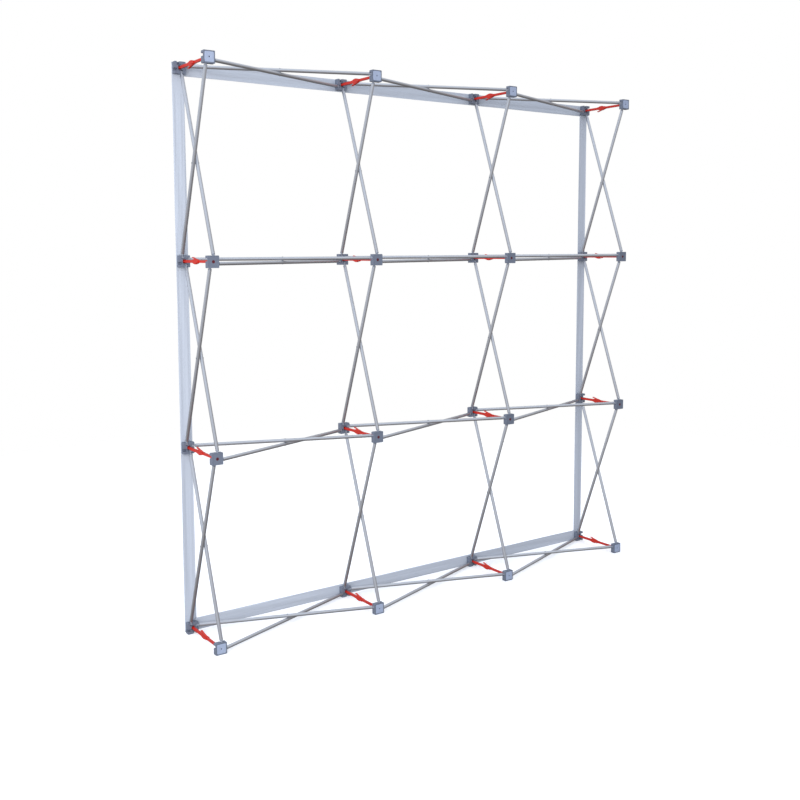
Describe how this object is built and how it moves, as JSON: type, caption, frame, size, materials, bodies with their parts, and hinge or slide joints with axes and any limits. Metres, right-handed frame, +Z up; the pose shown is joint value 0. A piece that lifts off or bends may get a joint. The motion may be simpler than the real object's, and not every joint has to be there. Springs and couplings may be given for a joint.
{
  "type": "pop up display backwall",
  "caption": "Scissor-tube pop up display frame, square and straight, with plastic hubs, red hinged depth locks and a fabric edge band, locked open",
  "frame": {"origin": "under the middle of the frame, on the surface it stands on", "axes": "+X along the wall, +Y through its depth towards the side with the fabric band, +Z up"},
  "size_m": [2.272, 0.2822, 2.2665],
  "materials": {
    "hub_plastic": "moulded, fine matt texture, blue grey",
    "tube_aluminium": "satin anodised, drawn along its length",
    "tip_plastic": "moulded, smooth, pale blue grey",
    "pin_steel": "bright, lightly worn",
    "lock_red": "moulded, half matt, red",
    "screw_dark_red": "moulded head, dark red",
    "pad_lilac": "smooth pad, pale lilac grey",
    "patch_hook_tape": "hook tape, pale grey",
    "band_fabric": "woven loop fabric, pale blue grey"
  },
  "bodies": {
    "frame": {"near_hubs_row_1": "hub_plastic", "near_hubs_row_2": "hub_plastic", "near_hubs_row_3": "hub_plastic", "near_hubs_row_4": "hub_plastic", "far_hubs_row_1": "hub_plastic", "far_hubs_row_2": "hub_plastic", "far_hubs_row_3": "hub_plastic", "far_hubs_row_4": "hub_plastic", "upright_tubes_column_1": "tube_aluminium", "upright_tubes_column_2": "tube_aluminium", "upright_tubes_column_3": "tube_aluminium", "upright_tubes_column_4": "tube_aluminium", "level_tubes_row_1": "tube_aluminium", "level_tubes_row_2": "tube_aluminium", "level_tubes_row_3": "tube_aluminium", "level_tubes_row_4": "tube_aluminium", "upright_tube_tips": "tip_plastic", "level_tube_tips": "tip_plastic", "near_tube_pins": "pin_steel", "far_tube_pins": "pin_steel", "upright_tube_rivets": "pin_steel", "level_tube_rivets": "pin_steel", "tube_washers": "tip_plastic", "hook_bases": "lock_red", "hook_base_screws": "screw_dark_red", "hook_pins": "pin_steel", "catch_arms_row_1": "lock_red", "catch_arms_row_2": "lock_red", "catch_arms_row_3": "lock_red", "catch_arms_row_4": "lock_red", "catch_arm_screws": "screw_dark_red", "face_pads_row_1": "pad_lilac", "face_pads_row_4": "pad_lilac", "band_patches": "patch_hook_tape", "band_left": "band_fabric", "band_right": "band_fabric", "band_top_run": "band_fabric", "band_bottom_run": "band_fabric"},
    "hook_row_1_column_1": {"hook_arm_row_1_column_1": "lock_red"},
    "hook_row_1_column_2": {"hook_arm_row_1_column_2": "lock_red"},
    "hook_row_1_column_3": {"hook_arm_row_1_column_3": "lock_red"},
    "hook_row_1_column_4": {"hook_arm_row_1_column_4": "lock_red"},
    "hook_row_2_column_1": {"hook_arm_row_2_column_1": "lock_red"},
    "hook_row_2_column_2": {"hook_arm_row_2_column_2": "lock_red"},
    "hook_row_2_column_3": {"hook_arm_row_2_column_3": "lock_red"},
    "hook_row_2_column_4": {"hook_arm_row_2_column_4": "lock_red"},
    "hook_row_3_column_1": {"hook_arm_row_3_column_1": "lock_red"},
    "hook_row_3_column_2": {"hook_arm_row_3_column_2": "lock_red"},
    "hook_row_3_column_3": {"hook_arm_row_3_column_3": "lock_red"},
    "hook_row_3_column_4": {"hook_arm_row_3_column_4": "lock_red"},
    "hook_row_4_column_1": {"hook_arm_row_4_column_1": "lock_red"},
    "hook_row_4_column_2": {"hook_arm_row_4_column_2": "lock_red"},
    "hook_row_4_column_3": {"hook_arm_row_4_column_3": "lock_red"},
    "hook_row_4_column_4": {"hook_arm_row_4_column_4": "lock_red"}
  },
  "joints": [
    {"name": "hook_row_1_column_1_hinge", "type": "hinge", "parent": "frame", "child": "hook_row_1_column_1", "pos_m": [-1.11, 0.12573, 2.24325], "axis": [1, 0, 0], "range_deg": [0, 45]},
    {"name": "hook_row_1_column_2_hinge", "type": "hinge", "parent": "frame", "child": "hook_row_1_column_2", "pos_m": [-0.37, 0.12573, 2.24325], "axis": [1, 0, 0], "range_deg": [0, 45]},
    {"name": "hook_row_1_column_3_hinge", "type": "hinge", "parent": "frame", "child": "hook_row_1_column_3", "pos_m": [0.37, 0.12573, 2.24325], "axis": [1, 0, 0], "range_deg": [0, 45]},
    {"name": "hook_row_1_column_4_hinge", "type": "hinge", "parent": "frame", "child": "hook_row_1_column_4", "pos_m": [1.11, 0.12573, 2.24325], "axis": [1, 0, 0], "range_deg": [0, 45]},
    {"name": "hook_row_2_column_1_hinge", "type": "hinge", "parent": "frame", "child": "hook_row_2_column_1", "pos_m": [-1.11, 0.12573, 1.50325], "axis": [-1, 0, 0], "range_deg": [0, 45]},
    {"name": "hook_row_2_column_2_hinge", "type": "hinge", "parent": "frame", "child": "hook_row_2_column_2", "pos_m": [-0.37, 0.12573, 1.50325], "axis": [-1, 0, 0], "range_deg": [0, 45]},
    {"name": "hook_row_2_column_3_hinge", "type": "hinge", "parent": "frame", "child": "hook_row_2_column_3", "pos_m": [0.37, 0.12573, 1.50325], "axis": [-1, 0, 0], "range_deg": [0, 45]},
    {"name": "hook_row_2_column_4_hinge", "type": "hinge", "parent": "frame", "child": "hook_row_2_column_4", "pos_m": [1.11, 0.12573, 1.50325], "axis": [-1, 0, 0], "range_deg": [0, 45]},
    {"name": "hook_row_3_column_1_hinge", "type": "hinge", "parent": "frame", "child": "hook_row_3_column_1", "pos_m": [-1.11, 0.12573, 0.76325], "axis": [-1, 0, 0], "range_deg": [0, 45]},
    {"name": "hook_row_3_column_2_hinge", "type": "hinge", "parent": "frame", "child": "hook_row_3_column_2", "pos_m": [-0.37, 0.12573, 0.76325], "axis": [-1, 0, 0], "range_deg": [0, 45]},
    {"name": "hook_row_3_column_3_hinge", "type": "hinge", "parent": "frame", "child": "hook_row_3_column_3", "pos_m": [0.37, 0.12573, 0.76325], "axis": [-1, 0, 0], "range_deg": [0, 45]},
    {"name": "hook_row_3_column_4_hinge", "type": "hinge", "parent": "frame", "child": "hook_row_3_column_4", "pos_m": [1.11, 0.12573, 0.76325], "axis": [-1, 0, 0], "range_deg": [0, 45]},
    {"name": "hook_row_4_column_1_hinge", "type": "hinge", "parent": "frame", "child": "hook_row_4_column_1", "pos_m": [-1.11, 0.12573, 0.02325], "axis": [-1, 0, 0], "range_deg": [0, 45]},
    {"name": "hook_row_4_column_2_hinge", "type": "hinge", "parent": "frame", "child": "hook_row_4_column_2", "pos_m": [-0.37, 0.12573, 0.02325], "axis": [-1, 0, 0], "range_deg": [0, 45]},
    {"name": "hook_row_4_column_3_hinge", "type": "hinge", "parent": "frame", "child": "hook_row_4_column_3", "pos_m": [0.37, 0.12573, 0.02325], "axis": [-1, 0, 0], "range_deg": [0, 45]},
    {"name": "hook_row_4_column_4_hinge", "type": "hinge", "parent": "frame", "child": "hook_row_4_column_4", "pos_m": [1.11, 0.12573, 0.02325], "axis": [-1, 0, 0], "range_deg": [0, 45]}
  ]
}
